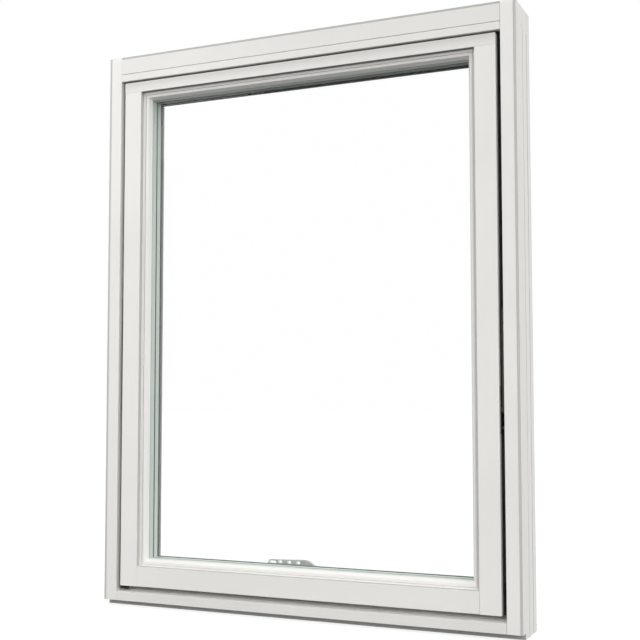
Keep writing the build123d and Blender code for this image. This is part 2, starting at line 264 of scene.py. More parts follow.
class WindowStage(bpy.types.PropertyGroup):
    """Camera, lamps and floor."""

    camera_place: FloatVectorProperty(
        name="Camera place", description="Place of the camera", subtype="TRANSLATION", unit="LENGTH",
        default=(1.01767, -2.20902, 0.47400),
    )
    camera_turn: FloatVectorProperty(
        name="Camera turn", description="Turn of the camera", subtype="EULER",
        default=(1.635722, 0.000797, 0.420977),
    )
    lens: FloatProperty(name="Lens", description="Focal length in millimetres", default=61.7403)
    shift: FloatVectorProperty(
        name="Shift", description="Shift of the picture", size=2, default=(-0.00144, 0.01086)
    )
    sky_low: FloatProperty(
        name="Low sky", description="Strength of the studio light near the horizon", default=0.78
    )
    sky_high: FloatProperty(
        name="High sky", description="Strength of the studio light overhead", default=1.15
    )
    fill: FloatProperty(
        name="Fill", description="Strength of the broad light from the front right", default=1.93
    )
    fill_way: FloatVectorProperty(
        name="Fill way", description="Way to the broad light", subtype="DIRECTION",
        default=(0.62, -0.72, 0.30),
    )
    fill_focus: FloatProperty(
        name="Fill focus", description="How fast the broad light falls off to its sides", default=4.0
    )
    key_power: FloatProperty(
        name="Key power", description="Power of the soft key lamp", default=1.9, unit="POWER"
    )
    key_place: FloatVectorProperty(
        name="Key place", description="Place of the key lamp", subtype="TRANSLATION", unit="LENGTH",
        default=(-0.85, -0.85, 1.55),
    )
    key_size: FloatProperty(
        name="Key size", description="Width of the key lamp", default=0.6, unit="LENGTH"
    )
    floor_size: FloatProperty(
        name="Floor size", description="Width of the floor", default=60.0, unit="LENGTH"
    )
    floor_tone: FloatProperty(
        name="Floor tone", description="Share of light that the floor throws back", default=0.22,
        subtype="FACTOR",
    )
    floor_glow: FloatProperty(
        name="Floor glow", description="Share of white that the floor shows of itself", default=0.80,
        subtype="FACTOR",
    )


class Finish:
    """A node material under construction, with a Principled shader at its end."""

    def __init__(self, name):
        self.material = bpy.data.materials.new(name)
        self.material.use_nodes = True
        self.tree = self.material.node_tree
        self.tree.nodes.clear()
        self.output = self.tree.nodes.new("ShaderNodeOutputMaterial")
        self.shader = self.tree.nodes.new("ShaderNodeBsdfPrincipled")
        self.tree.links.new(self.shader.outputs["BSDF"], self.output.inputs["Surface"])
        self.place = self.node("ShaderNodeTexCoord").outputs["Object"]

    def node(self, kind, **settings):
        """Add a node and set its properties."""
        made = self.tree.nodes.new(kind)
        for key, value in settings.items():
            setattr(made, key, value)
        return made

    def feed(self, socket, value):
        """Link a socket or set a constant."""
        if isinstance(value, bpy.types.NodeSocket):
            self.tree.links.new(value, socket)
        else:
            socket.default_value = value

    def math(self, operation, first, second=0.0):
        """Arithmetic on two values."""
        made = self.node("ShaderNodeMath", operation=operation)
        self.feed(made.inputs[0], first)
        self.feed(made.inputs[1], second)
        return made.outputs[0]

    def along(self, axis):
        """The object's own coordinate on an axis."""
        made = self.node("ShaderNodeSeparateXYZ")
        self.feed(made.inputs[0], self.place)
        return made.outputs["xyz".index(axis)]

    def aside(self):
        """Distance from the window's middle."""
        return self.math("ABSOLUTE", self.along("x"))

    def ramp(self, value, low, high, start=0.0, end=1.0):
        """Smooth step of a value from one bound to another."""
        made = self.node("ShaderNodeMapRange", interpolation_type="SMOOTHSTEP")
        for socket, number in zip(made.inputs, (value, low, high, start, end)):
            self.feed(socket, number)
        return made.outputs[0]

    def above(self, value, bound):
        """Mask of what is over a bound."""
        return self.math("GREATER_THAN", value, bound)

    def below(self, value, bound):
        """Mask of what is under a bound."""
        return self.math("LESS_THAN", value, bound)

    def both(self, first, second):
        """Mask of what two masks share."""
        return self.math("MULTIPLY", first, second)

    def between(self, value, low, high):
        """Mask of what lies between two bounds."""
        return self.both(self.above(value, low), self.below(value, high))

    def before(self, depth):
        """Mask of what lies less deep than this behind the frame's face."""
        return self.below(self.along("y"), FRONT + depth)

    def deeper(self, start, end):
        """Mask that grows with the depth behind the frame's face."""
        return self.ramp(self.along("y"), FRONT + start, FRONT + end)

    def noise(self, scale, detail=2.0, stretch=(1.0, 1.0, 1.0)):
        """Noise value on the object's own coordinates."""
        mapped = self.node("ShaderNodeMapping")
        self.feed(mapped.inputs["Vector"], self.place)
        mapped.inputs["Scale"].default_value = stretch
        made = self.node("ShaderNodeTexNoise")
        self.feed(made.inputs["Vector"], mapped.outputs[0])
        made.inputs["Scale"].default_value = scale
        made.inputs["Detail"].default_value = detail
        return made.outputs[0]

    def streaks(self, scale, along, squeeze):
        """Noise drawn out along an axis, or even all round without one."""
        stretch = [1.0, 1.0, 1.0]
        if along:
            stretch["xyz".index(along)] = squeeze
        return self.noise(scale, detail=3.0, stretch=stretch)

    def mix(self, factor, first, second):
        """Mix of two colours."""
        made = self.node("ShaderNodeMix", data_type="RGBA")
        self.feed(made.inputs[0], factor)
        for socket, colour in zip((made.inputs[6], made.inputs[7]), (first, second)):
            self.feed(socket, colour if isinstance(colour, bpy.types.NodeSocket) else (*colour, 1.0))
        return made.outputs[2]

    def bump(self, height, distance, strength=1.0, under=None):
        """Bump from a height value."""
        made = self.node("ShaderNodeBump")
        made.inputs["Distance"].default_value = distance
        made.inputs["Strength"].default_value = strength
        self.feed(made.inputs["Height"], height)
        if under is not None:
            self.feed(made.inputs["Normal"], under)
        return made.outputs[0]

    def set(self, **values):
        """Set or link inputs of the shader, with underscores for spaces."""
        for key, value in values.items():
            socket = self.shader.inputs[key.replace("_", " ")]
            if socket.type == "RGBA" and not isinstance(value, bpy.types.NodeSocket):
                value = (*value, 1.0)
            self.feed(socket, value)


def finishes():
    """The colours that the user sets."""
    return bpy.context.scene.window_finishes


def hardware():
    """The repeated sizes that the user sets."""
    return bpy.context.scene.window_hardware


def dress(material, *names):
    """Give CAD nodes a material."""
    for name in names:
        slots = NODES[name].material_slots
        if not slots:
            NODES[name].data.materials.append(material)
        for slot in slots:
            slot.material = material


def painted_timber(name, along, tone=1.0, shades=(), gloss=0.25):
    """White paint on planed timber; along is the grain's axis, tone lightens or darkens the whole piece as
    painted light or shade, and shades are masks with their colours, mostly painted shade and light.
    """
    chosen = finishes()
    finish = Finish(name)
    grain = finish.streaks(scale=420.0, along=along, squeeze=0.02)
    peel = finish.noise(scale=1500.0, detail=1.0)
    cloud = finish.ramp(finish.noise(scale=5.0), 0.3, 0.7)
    fresh = [tone * part for part in chosen.paint]
    aged = [0.965 * part for part in fresh]
    colour = finish.mix(cloud, aged, fresh)
    for mask, shade in shades:
        colour = finish.mix(mask(finish), colour, tuple(shade))
    spread = 0.05
    smooth, rough = chosen.paint_roughness - spread, chosen.paint_roughness + spread
    finish.set(
        Base_Color=colour,
        Roughness=finish.ramp(finish.noise(scale=60.0), 0.2, 0.8, smooth, rough),
        Normal=finish.bump(peel, 0.03 * MM, 0.6, under=finish.bump(grain, chosen.grain_height)),
        Specular_IOR_Level=gloss,
    )
    return finish.material


def side_step(finish):
    """Mask of painted shade in the stepped arris along a jamb's outer side."""
    side = finish.above(finish.aside(), SIDE_X - SIDE_ARRIS)
    return finish.both(side, finish.before(ARRIS_DEPTH))


def top_step(finish):
    """Mask of painted shade in the stepped arris along the head's top."""
    top = finish.above(finish.along("z"), HEAD_HIGH.z - TOP_ARRIS)
    return finish.both(top, finish.before(ARRIS_DEPTH))


def outer_side(finish):
    """Mask of painted shade on the jambs' outer sides."""
    return finish.above(finish.aside(), SIDE_X - SKIN)


def side_grooves(finish):
    """Mask of painted shade in the grooves along the jambs' outer sides, up to the screw sinking."""
    depth = finish.along("y")
    near = [finish.between(depth, FRONT + start, FRONT + start + GROOVE_WIDTH) for start in GROOVES]
    cut = finish.between(finish.aside(), SIDE_X - GROOVE_DEPTH, SIDE_X - SKIN)
    low = finish.below(finish.along("z"), GROOVE_TOP)
    return finish.both(finish.both(finish.math("MAXIMUM", *near), cut), low)


def left_foot(finish):
    """Mask of painted shade that grows towards the foot of the left jamb."""
    left = finish.below(finish.along("x"), 0.0)
    return finish.both(left, finish.ramp(finish.along("z"), *FOOT_SHADE))


def reveal_gap(finish):
    """Mask of painted shade on the jamb's reveal, growing deeper in the gap."""
    deep = finish.both(finish.deeper(*REVEAL_SHADE), finish.before(STOP_DEPTH))
    return finish.both(finish.below(finish.aside(), REVEAL_X + GAP_SKIN), deep)


def under_lip(finish):
    """Mask of painted shade on the frame's face set back under the lip."""
    return finish.both(finish.below(finish.along("z"), UNDER_LIP_HEIGHT), finish.before(UNDER_LIP_DEPTH))


def strip_gap(finish):
    """Mask of painted shade on the underside of the head strip."""
    foot = finish.below(finish.along("z"), STRIP_LOW.z + GAP_SKIN)
    return finish.both(foot, finish.deeper(*TOP_GAP_SHADE))


def sill_nose(finish):
    """Mask of the rounded front edge of the sill's top."""
    return finish.both(finish.between(finish.along("z"), *SILL_SLOPE), finish.deeper(*NOSE_SHADE))


def sill_run(finish):
    """Mask of painted light on the sill's top in the gap."""
    return finish.both(finish.between(finish.along("z"), *SILL_SLOPE), finish.deeper(*SILL_LIGHT))


def sash_gap(finish):
    """Mask of painted shade on the sash's outer edge, growing deeper in the gap."""
    return finish.both(finish.above(finish.aside(), SASH_X - GAP_SKIN), finish.deeper(*STILE_SHADE))


def wall_depth(finish):
    """Mask of what lies between the sash's face and the beads, where painted shade grows with depth."""
    return finish.both(finish.before(LEDGE_DEPTH), finish.deeper(*WALL_SHADE))


def ledge_depth(finish):
    """Mask of what lies as deep as the ledges beside the beads."""
    return finish.between(finish.along("y"), FRONT + LEDGE_DEPTH, FRONT + LEDGE_BACK)


def stile_wall(finish):
    """Mask of painted shade on the stiles' walls beside the beads."""
    return finish.both(finish.below(finish.aside(), WALL_X + SKIN), wall_depth(finish))


def stile_ledge(finish):
    """Mask of painted shade on the right stile's ledge beside the bead."""
    return finish.both(finish.between(finish.along("x"), 0.0, WALL_X + SKIN), ledge_depth(finish))


def stile_shoulder(finish):
    """Mask of painted shade on the edges of the stiles behind the glass."""
    behind = finish.between(finish.along("y"), FRONT + SHOULDER_DEPTH, STILE_HIGH.y - SHOULDER_END)
    return finish.both(finish.below(finish.aside(), STILE_LOW.x + SKIN), behind)


def rail_gap(finish):
    """Mask of painted shade on the top of the top rail, growing deeper in the gap."""
    top = finish.above(finish.along("z"), RAIL_HIGH.z - GAP_SKIN)
    return finish.both(top, finish.deeper(*TOP_GAP_SHADE))


def rail_shoulder(finish):
    """Mask of painted shade on the underside of the top rail behind the glass."""
    return finish.below(finish.along("z"), RAIL_LOW.z + GAP_SKIN)


def rail_shade(finish):
    """Mask of the painted shadow of the head on the upper part of the top rail's face."""
    rise = finish.ramp(finish.along("z"), RAIL_HIGH.z - RAIL_SHADOW_HEIGHT, RAIL_HIGH.z)
    return finish.both(rise, finish.before(RAIL_FACE_DEPTH))


def rail_wall(finish):
    """Mask of painted shade on the top rail's wall over the bead."""
    return finish.both(finish.below(finish.along("z"), RAIL_FACE_FOOT + SKIN), wall_depth(finish))


def rail_ledge(finish):
    """Mask of painted light on the top rail's ledge over the bead, below its shaded corner."""
    lit = finish.below(finish.along("z"), RAIL_FACE_FOOT - LEDGE_CORNER)
    return finish.both(lit, ledge_depth(finish))


def rail_corner(finish):
    """Mask of painted shade in the corner between the top rail's wall and its ledge."""
    corner = finish.between(finish.along("z"), RAIL_FACE_FOOT - LEDGE_CORNER, RAIL_FACE_FOOT + SKIN)
    return finish.both(corner, ledge_depth(finish))


def rail_brow(finish):
    """Mask of the upper front edge of the bottom rail, along the bead."""
    edge = finish.above(finish.along("z"), STILE_LOW.z + BROW_HEIGHT)
    return finish.both(edge, finish.before(BROW_DEPTH))


def bead_joint(finish):
    """Mask of the left bead's edge along its joint."""
    return finish.below(finish.along("x"), BEAD_JOINT - BEAD_HIGH.x)


def bead_shade(finish):
    """Mask of painted shade on the right bead's flat under the edge of the stile."""
    start, end = BEAD_SHADE
    return finish.ramp(finish.along("x"), BEAD_LOW.x + start, BEAD_LOW.x + end)


def gasket_light(finish):
    """Mask of painted light on the glazing gasket below the shade of the top rail."""
    start, end = GASKET_LIT
    return finish.ramp(finish.along("z"), RAIL_LOW.z + start, RAIL_LOW.z + end)


class WINDOW_OT_paint_frame(bpy.types.Operator):
    """Paint the jambs, head, strip and sill"""

    bl_idname = "window.paint_frame"
    bl_label = "Paint frame"

    def execute(self, context):
        chosen = finishes()
        dark, edge, lip = chosen.gap_shade, chosen.step_shade, chosen.lip_shade
        # Painted shade towards the left foot, on the outer sides, in the grooves and step, deep in the gap
        # and under the lip
        shades = (
            (left_foot, chosen.side_shade),
            (outer_side, chosen.side_shade),
            (side_grooves, edge),
            (side_step, edge),
            (reveal_gap, dark),
            (under_lip, lip),
        )
        dress(painted_timber("jamb paint", "z", shades=shades), "frame_jamb_left", "frame_jamb_right")
        # Tones below 1 here darken whole pieces as painted shade
        dress(painted_timber("head paint", "x", tone=0.94, shades=((top_step, lip),)), "frame_head")
        strip = painted_timber("strip paint", "x", tone=0.95, shades=((strip_gap, dark),))
        dress(strip, "frame_head_strip")
        # Painted shade under the lip, darker paint at the nose, and painted light on the sill in the gap
        shades = ((under_lip, lip), (sill_nose, chosen.nose_paint), (sill_run, chosen.painted_light))
        dress(painted_timber("sill paint", "x", tone=0.925, shades=shades), "frame_sill")
        return {"FINISHED"}


class WINDOW_OT_paint_sash(bpy.types.Operator):
    """Paint the stiles, rails and beads"""

    bl_idname = "window.paint_sash"
    bl_label = "Paint sash"

    def execute(self, context):
        chosen = finishes()
        dark, wall, under, ledge = chosen.gap_shade, chosen.wall_shade_and_joint, chosen.under_shade, chosen.ledge_shade
        # Painted shade deep in the gap, on the walls and shoulders, and on the right stile's ledge
        shades = ((sash_gap, dark), (stile_wall, wall), (stile_ledge, ledge), (stile_shoulder, under))
        # Tones below 1 darken whole pieces as painted shade; the right bead's 1.15 lightens it as painted
        # light
        stiles = painted_timber("stile paint", "z", tone=0.99, shades=shades)
        dress(stiles, "sash_stile_left", "sash_stile_right")
        # Painted shade in the gaps, under the rail, on its wall and corner and from the head; painted
        # light on its ledge
        shades = (
            (rail_gap, dark),
            (sash_gap, dark),
            # The rubber's black as painted shade under the top rail behind the glass
            (rail_shoulder, chosen.rubber),
            (rail_shade, chosen.head_shadow),
            (rail_wall, under),
            (rail_ledge, chosen.painted_light),
            (rail_corner, under),
        )
        rail = painted_timber("top rail paint", "x", tone=0.93, shades=shades, gloss=0.03)
        dress(rail, "sash_rail_top")
        rail = painted_timber("bottom rail paint", "x", tone=0.98, shades=((rail_brow, wall),))
        dress(rail, "sash_rail_bottom")
        bead = painted_timber("left bead paint", "z", shades=((bead_joint, wall),))
        dress(bead, "glazing_bead_left")
        # Tone 1.15 is painted light on the right bead, and the ledge colour is painted shade on its flat
        bead = painted_timber("right bead paint", "z", tone=1.15, shades=((bead_shade, ledge),))
        dress(bead, "glazing_bead_right")
        bead = painted_timber("level bead paint", "x", tone=0.97)
        dress(bead, "glazing_bead_top", "glazing_bead_bottom")
        return {"FINISHED"}


class WINDOW_OT_glaze(bpy.types.Operator):
    """Finish the panes, spacers and glazing gasket"""

    bl_idname = "window.glaze"
    bl_label = "Glaze"

    def execute(self, context):
        dress(self.clear_glass(), "glass_outer", "glass_middle", "glass_inner")
        dress(self.spacer_bar(), "glass_spacer_outer", "glass_spacer_inner")
        # Gasket with painted light below the shade of the top rail
        dress(rubber("glazing gasket rubber", smooth=0.55, lit_mask=gasket_light), "glazing_gasket")
        return {"FINISHED"}

    def clear_glass(self):
        """Clear float glass that lets lamps through."""
        chosen = finishes()
        finish = Finish("clear float glass")
        finish.set(
            Base_Color=tuple(chosen.glass),
            Roughness=0.0,
            IOR=1.5,
            Transmission_Weight=1.0,
            Specular_IOR_Level=0.5,
            Specular_Tint=[chosen.glass_shine] * 3,
        )
        open_light = finish.node("ShaderNodeBsdfTransparent")
        path = finish.node("ShaderNodeLightPath")
        surface = finish.shader.outputs[0]
        for ray in ("Is Diffuse Ray", "Is Shadow Ray"):
            either = finish.node("ShaderNodeMixShader")
            finish.feed(either.inputs[0], path.outputs[ray])
            finish.feed(either.inputs[1], surface)
            finish.feed(either.inputs[2], open_light.outputs[0])
            surface = either.outputs[0]
        finish.feed(finish.output.inputs["Surface"], surface)
        return finish.material

    def spacer_bar(self):
        """Grey spacer, dark with butyl on the faces bedded on glass, with painted shade on the inner
        spacer's upper bar.
        """
        chosen = finishes()
        finish = Finish("warm edge spacer")
        depth = finish.along("y")
        bedded = 0.0
        for edge in (OUTER_SPACER[1].y, INNER_SPACER[0].y, INNER_SPACER[1].y):
            distance = finish.math("ABSOLUTE", finish.math("SUBTRACT", depth, edge))
            bedded = finish.math("MAXIMUM", bedded, finish.below(distance, BUTYL_WIDTH))
        # Painted shade on the inner spacer's upper bar
        high = finish.above(finish.along("z"), INNER_SPACER[1].z - SHADED_BAR)
        shaded = finish.both(high, finish.above(depth, INNER_SPACER[0].y - BAR_SKIN))
        bar = finish.mix(shaded, tuple(chosen.spacer), tuple(chosen.shaded_spacer))
        weave = finish.noise(scale=900.0)
        finish.set(
            Base_Color=finish.mix(bedded, bar, tuple(chosen.butyl)),
            Roughness=finish.ramp(weave, 0.3, 0.7, 0.42, 0.6),
            Normal=finish.bump(weave, 0.04 * MM),
            Specular_IOR_Level=0.1,
        )
        return finish.material


def rubber(name, smooth, lit_mask=None):
    """Black extruded rubber, with grey painted light where a mask says so."""
    chosen = finishes()
    finish = Finish(name)
    speck = finish.noise(scale=2200.0)
    deep = tuple(chosen.rubber)
    worn = tuple(2.2 * part for part in deep)
    colour = finish.mix(finish.ramp(finish.noise(scale=30.0), 0.35, 0.7), deep, worn)
    if lit_mask:
        colour = finish.mix(lit_mask(finish), colour, tuple(chosen.lit_rubber))
    finish.set(
        Base_Color=colour,
        Roughness=finish.ramp(speck, 0.3, 0.7, smooth, 0.75),
        Normal=finish.bump(speck, 0.03 * MM),
        Specular_IOR_Level=0.01,
    )
    return finish.material


def bare_metal(name, colour, smooth, rough, along=None, dull=0.85):
    """Metal with fine marks along an axis and duller patches."""
    finish = Finish(name)
    marks = finish.streaks(scale=1200.0, along=along, squeeze=0.03)
    patch = finish.ramp(finish.noise(scale=45.0, detail=3.0), 0.35, 0.7)
    colour = tuple(colour)
    finish.set(
        Base_Color=finish.mix(patch, colour, tuple(dull * part for part in colour)),
        Metallic=1.0,
        Roughness=finish.ramp(marks, 0.3, 0.7, smooth, rough),
        Normal=finish.bump(marks, 0.03 * MM, 0.7),
    )
    return finish.material


class WINDOW_OT_finish_fittings(bpy.types.Operator):
    """Finish the pivot fittings, tracks, shoes, seals and handle"""

    bl_idname = "window.finish_fittings"
    bl_label = "Finish fittings"

    def execute(self, context):
        chosen = finishes()
        black = bare_metal("black zinc plate", chosen.black_zinc, smooth=0.4, rough=0.55)
        plate = bare_metal("bright zinc plate", chosen.zinc, smooth=0.4, rough=0.55)
        pin = bare_metal("turned pin steel", chosen.zinc, smooth=0.22, rough=0.36, along="z", dull=0.95)
        track = bare_metal(
            "mill aluminium", chosen.aluminium, smooth=0.3, rough=0.48, along="z", dull=0.95
        )
        satin = bare_metal(
            "satin handle metal", chosen.handle, smooth=0.3, rough=0.42, along="x", dull=0.95
        )
        for side in SIDES:
            dress(black, "pivot_arm_" + side, "pivot_sash_plate_" + side)
            dress(plate, "pivot_frame_plate_" + side)
            dress(pin, "pivot_pins_" + side)
            dress(track, "guide_track_" + side)
        dress(self.moulded_nylon(), "guide_shoe_left", "guide_shoe_right")
        dress(satin, "handle_rose", "handle_lever")
        seal = rubber("weather seal rubber", smooth=0.53)
        dress(seal, *["weather_seal_" + place for place in ("left", "right", "top", "bottom")])
        dress(seal, "corner_pad_left")
        return {"FINISHED"}

    def moulded_nylon(self):
        """Fine-textured black nylon."""
        finish = Finish("moulded nylon")
        texture = finish.noise(scale=1600.0)
        colour = tuple(finishes().nylon)
        worn = tuple(1.6 * part for part in colour)
        finish.set(
            Base_Color=finish.mix(finish.ramp(texture, 0.3, 0.7), colour, worn),
            Roughness=finish.ramp(texture, 0.3, 0.7, 0.45, 0.6),
            Normal=finish.bump(texture, 0.05 * MM),
            Specular_IOR_Level=0.4,
        )
        return finish.material


def node_group(name, sizes):
    """Geometry tree with a geometry socket each way, named sizes and a material."""
    tree = bpy.data.node_groups.new(name, "GeometryNodeTree")
    tree.interface.new_socket("Geometry", in_out="INPUT", socket_type="NodeSocketGeometry")
    for label in sizes:
        tree.interface.new_socket(label, in_out="INPUT", socket_type="NodeSocketFloat")
    tree.interface.new_socket("Material", in_out="INPUT", socket_type="NodeSocketMaterial")
    tree.interface.new_socket("Geometry", in_out="OUTPUT", socket_type="NodeSocketGeometry")
    return tree, tree.nodes.new("NodeGroupInput"), tree.nodes.new("NodeGroupOutput")


def close_tree(tree, shape, given, result):
    """End a geometry tree in realized instances and the chosen material."""
    add, link = tree.nodes.new, tree.links.new
    real = add("GeometryNodeRealizeInstances")
    link(shape, real.inputs[0])
    finish = add("GeometryNodeSetMaterial")
    link(real.outputs[0], finish.inputs["Geometry"])
    link(given.outputs["Material"], finish.inputs["Material"])
    link(finish.outputs[0], result.inputs[0])


def evaluated(name, mesh, tree, values):
    """Run a geometry tree on a mesh and keep the result as a plain mesh on the body."""
    source = bpy.data.objects.new(name + "_source", mesh)
    bpy.context.scene.collection.objects.link(source)
    modifier = source.modifiers.new("build", "NODES")
    modifier.node_group = tree
    for item in tree.interface.items_tree:
        if item.in_out == "INPUT" and item.name in values:
            modifier[item.identifier] = values[item.name]
    graph = bpy.context.evaluated_depsgraph_get()
    made = bpy.data.meshes.new_from_object(source.evaluated_get(graph))
    made.name = name
    source.modifiers.remove(modifier)
    bpy.data.objects.remove(source)
    piece = bpy.data.objects.new(name, made)
    bpy.context.scene.collection.objects.link(piece)
    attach(piece, BODY)


# Facets of a screw's head and of the seal, shares of their radii, and the seed of the screws' turns

HEAD_SIDES = 20
HEAD_TAPER = 0.82
SPIN_SEED = 4
SEAL_SIDES = 12
SEAL_CORNER_STEPS = 5
SEAL_PROUD = 0.4
SEAL_CORNER = 2.0


def screw_tree():
    """Cross-recessed countersunk heads on points, each turned to its facing."""
    labels = ("Head Radius", "Head Height", "Recess Width")
    tree, given, result = node_group("screw heads", labels)
    add, link = tree.nodes.new, tree.links.new
    radius, height, recess = (given.outputs[label] for label in labels)

    head = add("GeometryNodeMeshCone")
    head.inputs["Vertices"].default_value = HEAD_SIDES
    taper = add("ShaderNodeMath")
    taper.operation = "MULTIPLY"
    taper.inputs[1].default_value = HEAD_TAPER
    link(radius, taper.inputs[0])
    link(taper.outputs[0], head.inputs["Radius Top"])
    link(radius, head.inputs["Radius Bottom"])
    link(height, head.inputs["Depth"])

    lift = add("ShaderNodeCombineXYZ")
    link(height, lift.inputs[2])
    cut = add("GeometryNodeMeshBoolean")
    cut.operation = "DIFFERENCE"
    cut.solver = "EXACT"
    link(head.outputs["Mesh"], cut.inputs["Mesh 1"])
    for sides in ((radius, recess, height), (recess, radius, height)):
        size = add("ShaderNodeCombineXYZ")
        for side, socket in zip(sides, size.inputs):
            link(side, socket)
        bar = add("GeometryNodeMeshCube")
        link(size.outputs[0], bar.inputs["Size"])
        raised = add("GeometryNodeTransform")
        link(bar.outputs[0], raised.inputs["Geometry"])
        link(lift.outputs[0], raised.inputs["Translation"])
        link(raised.outputs[0], cut.inputs["Mesh 2"])

    facing = add("GeometryNodeInputNamedAttribute")
    facing.data_type = "FLOAT_VECTOR"
    facing.inputs["Name"].default_value = "facing"
    turn = add("FunctionNodeAlignRotationToVector")
    turn.axis = "Z"
    link(facing.outputs["Attribute"], turn.inputs["Vector"])
    spin = add("FunctionNodeRandomValue")
    spin.data_type = "FLOAT"
    spin.inputs["Min"].default_value = 0.0
    spin.inputs[3].default_value = math.pi
    spin.inputs["Seed"].default_value = SPIN_SEED
    own = add("FunctionNodeAxisAngleToRotation")
    own.inputs["Axis"].default_value = (0.0, 0.0, 1.0)
    link(spin.outputs[1], own.inputs["Angle"])
    both = add("FunctionNodeRotateRotation")
    both.rotation_space = "LOCAL"
    link(turn.outputs[0], both.inputs["Rotation"])
    link(own.outputs[0], both.inputs["Rotate By"])

    place = add("GeometryNodeInstanceOnPoints")
    link(given.outputs["Geometry"], place.inputs["Points"])
    link(cut.outputs["Mesh"], place.inputs["Instance"])
    link(both.outputs[0], place.inputs["Rotation"])
    close_tree(tree, place.outputs[0], given, result)
    return tree


def points_mesh(name, rows):
    """Mesh of loose points that each hold the way their screw faces."""
    mesh = bpy.data.meshes.new(name)
    mesh.from_pydata([place for place, _ in rows], [], [])
    held = mesh.attributes.new("facing", "FLOAT_VECTOR", "POINT")
    held.data.foreach_set("vector", [part for _, way in rows for part in way])
    return mesh


class WINDOW_OT_drive_screws(bpy.types.Operator):
    """Put the fixing screws on the fittings"""

    bl_idname = "window.drive_screws"
    bl_label = "Drive screws"

    def execute(self, context):
        sizes = hardware()
        rows = []
        for side, sign in SIDES.items():
            rows += self.plate_rows("pivot_frame_plate_" + side, -sign)
            rows += self.plate_rows("pivot_sash_plate_" + side, sign)
            rows += self.track_rows("guide_track_" + side, -sign, sizes.track_screws)
        rows += self.rose_rows()
        values = {
            "Head Radius": sizes.screw_radius,
            "Head Height": sizes.screw_height,
            "Recess Width": sizes.recess_width,
            "Material": bare_metal("screw steel", finishes().zinc, smooth=0.25, rough=0.4, dull=0.9),
        }
        points = points_mesh("fixing_screws_at", rows)
        evaluated("fixing_screws", points, screw_tree(), values)
        return {"FINISHED"}

    def plate_rows(self, node, sign):
        """Two screws near the ends of a plate, clear of its pin."""
        low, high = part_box(node)
        inset = 12 * MM
        x = high.x if sign > 0 else low.x
        y = (low.y + high.y) / 2
        return [((x, y, z), (sign, 0.0, 0.0)) for z in (low.z + inset, high.z - inset)]

    def track_rows(self, node, sign, count):
        """Screws on the bed of a track."""
        low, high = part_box(node)
        bed = 1.5 * MM
        inset = 60 * MM
        x = high.x - bed if sign < 0 else low.x + bed
        y = (low.y + high.y) / 2
        span = high.z - low.z - 2 * inset
        heights = [low.z + inset + span * step / (count - 1) for step in range(count)]
        return [((x, y, z), (sign, 0.0, 0.0)) for z in heights]

    def rose_rows(self):
        """Two screws in the face of the rose."""
        low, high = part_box("handle_rose")
        middle = (low + high) / 2
        inset = 6.5 * MM
        return [((middle.x, high.y, z), (0.0, 1.0, 0.0)) for z in (low.z + inset, high.z - inset)]


def seal_tree():
    """Round seal swept along a chain of edges."""
    tree, given, result = node_group("swept seal", ("Radius", "Corner Radius"))
    add, link = tree.nodes.new, tree.links.new
    path = add("GeometryNodeMeshToCurve")
    link(given.outputs["Geometry"], path.inputs["Mesh"])
    corner = add("GeometryNodeFilletCurve")
    corner.mode = "POLY"
    corner.inputs["Count"].default_value = SEAL_CORNER_STEPS
    link(path.outputs[0], corner.inputs["Curve"])
    link(given.outputs["Corner Radius"], corner.inputs["Radius"])
    profile = add("GeometryNodeCurvePrimitiveCircle")
    profile.inputs["Resolution"].default_value = SEAL_SIDES
    link(given.outputs["Radius"], profile.inputs["Radius"])
    sweep = add("GeometryNodeCurveToMesh")
    sweep.inputs["Fill Caps"].default_value = True
    link(corner.outputs[0], sweep.inputs["Curve"])
    link(profile.outputs[0], sweep.inputs["Profile Curve"])
    smooth = add("GeometryNodeSetShadeSmooth")
    link(sweep.outputs[0], smooth.inputs["Geometry"])
    close_tree(tree, smooth.outputs[0], given, result)
    return tree


def path_mesh(name, corners):
    """Chain of edges."""
    mesh = bpy.data.meshes.new(name)
    mesh.from_pydata(corners, [(step, step + 1) for step in range(len(corners) - 1)], [])
    return mesh


class WINDOW_OT_fit_gap_seal(bpy.types.Operator):
    """Run the bulb seal up the sides and over the top of the sash"""

    bl_idname = "window.fit_gap_seal"
    bl_label = "Fit gap seal"

    def execute(self, context):
        sizes = hardware()
        depth = FRONT + sizes.gap_seal_depth
        proud = SEAL_PROUD * sizes.gap_seal_radius
        x = SASH_X + proud
        high = RAIL_HIGH.z + proud
        corners = [(-x, depth, STILE_LOW.z), (-x, depth, high), (x, depth, high), (x, depth, STILE_LOW.z)]
        values = {
            "Radius": sizes.gap_seal_radius,
            "Corner Radius": SEAL_CORNER * sizes.gap_seal_radius,
            "Material": rubber("gap seal rubber", smooth=0.54),
        }
        path = path_mesh("sash_gap_seal_path", corners)
        evaluated("sash_gap_seal", path, seal_tree(), values)
        return {"FINISHED"}


